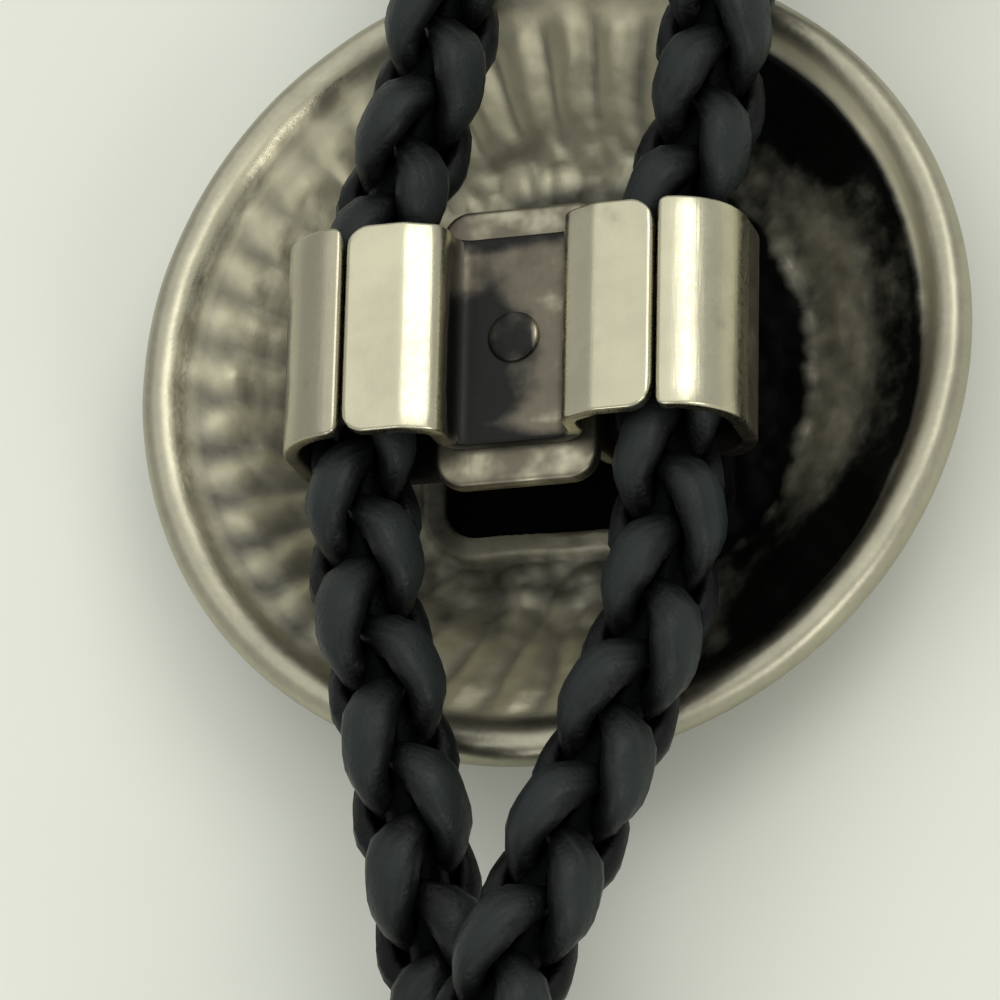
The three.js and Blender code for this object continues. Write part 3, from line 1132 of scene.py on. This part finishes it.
@dataclass
class BraidedCord:
    """One cord of four leather strands, braided round.

    A strand lingers where it lies on top, dwells there before it dives, narrows along each crown
    before and after it, and hugs the cord with its flat section. Turn and phase set the braid's
    pattern at the route's two ends.
    """

    diameter: float = 5.6 * MM
    core_radius: float = 1.15 * MM
    period: float = 11.4 * MM
    strand_width: float = 2.5 * MM
    strand_thickness: float = 1.4 * MM
    taper: float = 0.55
    inner_radius: float = 0.62 * MM
    linger: tuple[float, float] = (0.55, 0.11)
    section_points: int = 10
    lane_apart: float = 5.0
    section_powers: tuple[float, float] = (0.75, 0.65)
    hug: float = 2.2
    dwell: float = 4.5
    narrows_after: Fade = (0.0, 1.3)
    narrows_before: Fade = (0.7, 1.5)
    steps_per_period: int = 23
    squeeze: float = 0.92
    squeeze_fade: float = 2 * MM
    neck_share: Fade = (0.2, 0.8)
    spline_steps: int = 40
    clip_reach: Fade = (-6.4 * MM, 4.6 * MM)
    left_turn: float = math.radians(62)
    right_turn: float = math.radians(118)
    left_phase: float = -0.45
    right_phase: float = -0.13

    def route(self) -> np.ndarray:
        """Centripetal spline through the route's points.

        Returns:
            Rows of x, y and z, evenly spaced.
        """
        given = np.array(CORD_ROUTE, dtype=float) * MM
        points = np.vstack([2 * given[0] - given[1], given, 2 * given[-1] - given[-2]])
        line = []
        for i in range(1, len(points) - 2):
            p0, p1, p2, p3 = points[i - 1 : i + 3]
            legs = np.linalg.norm(np.diff(points[i - 1 : i + 3], axis=0), axis=1)
            d0, d1, d2 = np.sqrt(legs)
            m1 = ((p1 - p0) / d0 - (p2 - p0) / (d0 + d1) + (p2 - p1) / d1) * d1
            m2 = ((p2 - p1) / d1 - (p3 - p1) / (d1 + d2) + (p3 - p2) / d2) * d1
            for t in np.arange(self.spline_steps) / self.spline_steps:
                a = 2 * t**3 - 3 * t**2 + 1
                b = t**3 - 2 * t**2 + t
                line.append(a * p1 + b * m1 + (1 - a) * p2 + (t**3 - t**2) * m2)
        line.append(given[-1])
        return resample(np.array(line), self.period / self.steps_per_period, 3)

    def strand(
        self, lay: Lay, half_turn: float, phase: np.ndarray, turn: np.ndarray, down: np.ndarray
    ) -> tuple[np.ndarray, np.ndarray, np.ndarray, np.ndarray]:
        """Winds one strand, apart from the cord's route.

        Args:
            lay: the way that it winds.
            half_turn: its start round the cord.
            phase: how far the braid has gone at each step, as an angle.
            turn: the braid's own turn about the cord at each step.
            down: 1 where the route runs down to a tip and -1 where it runs up from one.

        Returns:
            Its angle, its distance from the cord's middle, its share of lying on top, and its
            share of the full width.
        """
        hand = lay.value
        first, second = self.linger
        own = phase if lay is Lay.RIGHT else phase - math.pi / 2
        swept = own - first * np.sin(2 * own) + second * np.sin(4 * own)
        start = 0.0 if lay is Lay.RIGHT else -math.pi / 2
        angle = hand * swept + start + half_turn + turn
        top = 1 - np.abs(np.sin(own)) ** self.dwell
        outer = self.diameter / 2 - self.strand_thickness / 2
        along = down * ((own + math.pi / 2) % math.pi - math.pi / 2)
        narrow = smooth_step(along, *self.narrows_after) + smooth_step(-along, *self.narrows_before)
        radius = self.inner_radius + (outer - self.inner_radius) * top
        return angle, radius, top, 1 - self.taper * narrow

    def build(self) -> bpy.types.Object:
        """Makes the four strands and their core as one mesh.

        Returns:
            The cord, with how far each point stands out stored on its points.
        """
        line = self.route()
        heading = unit(np.gradient(line, axis=0))
        side = unit(np.cross([0.0, 0.0, 1.0], heading))
        up = np.cross(heading, side)
        count = len(line)
        neck = smooth_step(np.linspace(0.0, 1.0, count), *self.neck_share)
        turn = self.left_turn + (self.right_turn - self.left_turn) * neck
        phase = 2 * math.pi * np.arange(count) / self.steps_per_period
        phase = phase + self.left_phase + (self.right_phase - self.left_phase) * neck
        low, high = self.clip_reach
        held = smooth_step(line[:, 1], low - self.squeeze_fade, low)
        held = held * (1 - smooth_step(line[:, 1], high, high + self.squeeze_fade))
        size = 1 - (1 - self.squeeze) * held
        around = 2 * math.pi * (np.arange(self.section_points) + 0.5) / self.section_points
        wide_power, deep_power = self.section_powers
        c, s = np.cos(around), np.sin(around)
        across = np.sign(c) * np.abs(c) ** wide_power * self.strand_width / 2
        through = np.sign(s) * np.abs(s) ** deep_power * self.strand_thickness / 2
        reach = np.repeat(np.arange(count) * self.period / self.steps_per_period, self.section_points)
        points, faces, crown, lane = [], [], [], []
        for lay in Lay:
            for half_turn in (0.0, math.pi):
                angle, radius, top, width = self.strand(lay, half_turn, phase, turn, 2 * neck - 1)
                out = np.cos(angle)[:, None] * side + np.sin(angle)[:, None] * up
                spine = line + (size * radius)[:, None] * out
                ahead = unit(np.gradient(spine, axis=0))
                out = unit(out - (out * ahead).sum(1)[:, None] * ahead)
                wide = np.cross(ahead, out)
                spread = size * width
                bow = across**2 / (self.hug * self.diameter)
                deep = through[None, :] * size[:, None] - bow[None, :]
                rings = (
                    spine[:, None, :]
                    + (spread[:, None] * across[None, :])[:, :, None] * wide[:, None, :]
                    + deep[:, :, None] * out[:, None, :]
                )
                points.append(rings.reshape(-1, 3))
                # Crown falls where a strand dives and towards its underside, which the finish paints
                # darker as painted shade.
                crown.append((top[:, None] * np.clip(0.5 + 0.5 * s, 0, 1)[None, :]).ravel())
                lane.append(np.tile(c + self.lane_apart * len(lane), count))
        circle = 2 * math.pi * np.arange(self.section_points) / self.section_points
        core = (
            line[:, None, :]
            + self.core_radius * np.cos(circle)[None, :, None] * side[:, None, :]
            + self.core_radius * np.sin(circle)[None, :, None] * up[:, None, :]
        )
        points.append(core.reshape(-1, 3))
        # The core gets crown 0, so it is painted black: painted shade in the braid's gaps.
        crown.append(np.zeros(count * self.section_points))
        lane.append(np.zeros(count * self.section_points))
        for index in range(len(points)):
            faces += tube_faces(count, self.section_points, index * count * self.section_points)
        numbers = {
            "crown": np.concatenate(crown),
            "lane": np.concatenate(lane),
            "reach": np.tile(reach, len(points)),
        }
        return make_mesh("leather_braid", np.vstack(points), faces, numbers)

    def dress(self, piece: bpy.types.Object) -> None:
        """Gives the cord its finish."""
        nodes = ["braided_cord_left", "braided_cord_right"]
        finish_piece(piece, WaxedLeather().material(), nodes)


@dataclass
class CordTips:
    """The plain tapered tips on the cord's two ends."""

    socket_depth: float = 6.5 * MM
    socket_radius: float = 2.85 * MM
    wall: float = 0.5 * MM
    length: float = 33 * MM
    nose: float = 1.5 * MM
    end_gap: float = 0.3 * MM
    spacing: float = 0.22 * MM
    sides: int = 48

    def build(self, name: str, end: Vector, heading: Vector) -> bpy.types.Object:
        """Makes one tip on the end of the cord.

        Args:
            name: the piece's name.
            end: the cord's end.
            heading: the way that the cord runs there.

        Returns:
            The tip.
        """
        mouth = self.socket_radius + self.wall
        shoulder = self.socket_depth + 1.5 * MM
        rows = [
            (0.02 * MM, self.socket_depth),
            (self.socket_radius, self.socket_depth),
            (self.socket_radius, 0.1 * MM),
            (self.socket_radius + 0.12 * MM, 0.0),
            (mouth - 0.15 * MM, 0.0),
            (mouth, 0.15 * MM),
            (mouth, 1.3 * MM),
            (mouth - 0.18 * MM, 1.5 * MM),
            (mouth - 0.18 * MM, 1.8 * MM),
            (mouth, 2.0 * MM),
            (mouth, shoulder),
            (self.nose + 0.4 * MM, self.length - 3.5 * MM),
            (self.nose, self.length - 1.6 * MM),
            (0.55 * self.nose, self.length - 0.4 * MM),
            (0.02 * MM, self.length),
        ]
        smooth = softened(resample(np.array(rows), self.spacing), 1)
        local, faces = turned(smooth, self.sides)
        spin = heading.to_track_quat("Z", "Y").to_matrix()
        start = np.array(end) + np.array(heading) * (self.end_gap - self.socket_depth)
        placed = local @ np.array(spin).T + start
        plain = np.zeros(len(placed))
        return make_mesh(name, placed, faces, {"grime_and_shade": plain, "dimming": plain})

    def dress(self, piece: bpy.types.Object, material: bpy.types.Material, node: str) -> None:
        """Gives a tip its finish."""
        finish_piece(piece, material, [node])


@dataclass
class Studio:
    """Floor, lights and camera."""

    floor_size: float = 6.0
    focus_pixels: float = 5800.9
    image_pixels: float = 1000.0
    eye: Vector = Vector((67.87, -95.27, 232.28)) * MM
    right: Vector = Vector((0.9575, 0.0217, -0.2877))
    up: Vector = Vector((0.0815, 0.9363, 0.3416))

    def floor(self) -> None:
        """Lays the pale floor."""
        corners = np.array([(-1, -1, 0), (1, -1, 0), (1, 1, 0), (-1, 1, 0)]) * self.floor_size / 2
        piece = make_mesh("floor", corners, [(0, 1, 2, 3)])
        piece.data.materials.append(PaleFloor().material())

    def camera(self) -> None:
        """Places the camera at the photograph's angle."""
        data = bpy.data.cameras.new("camera")
        data.sensor_width = 36.0
        data.lens = data.sensor_width * self.focus_pixels / self.image_pixels
        data.clip_start = 0.01
        data.clip_end = 20.0
        camera = bpy.data.objects.new("camera", data)
        right = self.right.normalized()
        back = right.cross(self.up).normalized()
        up = back.cross(right)
        turn = Matrix((right, up, back)).transposed().to_4x4()
        camera.matrix_world = Matrix.Translation(self.eye) @ turn
        bpy.context.scene.collection.objects.link(camera)
        bpy.context.scene.camera = camera

    def light(self, name: str, place: Vector, size: float, watts: float, colour: Colour) -> None:
        """Hangs one soft square light that faces the concho.

        Args:
            name: the light's name.
            place: where it hangs.
            size: its side.
            watts: its power.
            colour: its colour.
        """
        data = bpy.data.lights.new(name, "AREA")
        data.shape = "SQUARE"
        data.size = size
        data.energy = watts
        data.color = colour
        lamp = bpy.data.objects.new(name, data)
        lamp.location = place
        lamp.rotation_euler = (-place).to_track_quat("-Z", "Y").to_euler()
        bpy.context.scene.collection.objects.link(lamp)

    def build(self) -> None:
        """Sets up the floor, the lights, the surroundings and the camera."""
        self.floor()
        self.light("overhead", Vector((0.0, 0.30, 0.95)), 1.5, 4.3, (1.0, 1.0, 0.98))
        self.light("lamp", Vector((0.45, 0.40, 0.79)), 0.45, 1.55, (1.0, 0.99, 0.96))
        self.light("window", Vector((0.60, -0.60, 0.50)), 0.4, 1.8, (1.0, 0.97, 0.93))
        self.light("front", Vector((-0.20, -0.87, 0.43)), 0.3, 0.9, (1.0, 0.97, 0.93))
        world = bpy.data.worlds.new("surroundings")
        world.use_nodes = True
        sky = world.node_tree.nodes["Background"]
        sky.inputs["Color"].default_value = (0.97, 0.985, 0.96, 1.0)
        sky.inputs["Strength"].default_value = 0.61
        bpy.context.scene.world = world
        bpy.context.scene.view_settings.view_transform = "Standard"
        self.camera()


def main() -> None:
    """Builds and dresses every piece in order."""
    logging.basicConfig(level=logging.INFO, format="%(name)s %(message)s")
    Studio().build()
    cord = BraidedCord()
    cord.dress(cord.build())
    concho = Concho()
    concho.dress(concho.build())
    clip = CordClip()
    clip.dress(clip.build(), clip.build_rivet())
    line = cord.route()
    tips = CordTips()
    nickel = NickelSheet("nickel_tip", roughness=0.28).material()
    ends = (("left", line[0], line[0] - line[1]), ("right", line[-1], line[-1] - line[-2]))
    for hand, end, heading in ends:
        tip = tips.build(f"tip_{hand}_turned", Vector(end), Vector(heading).normalized())
        tips.dress(tip, nickel, f"cord_tip_{hand}")


if __name__ == "__main__":
    main()
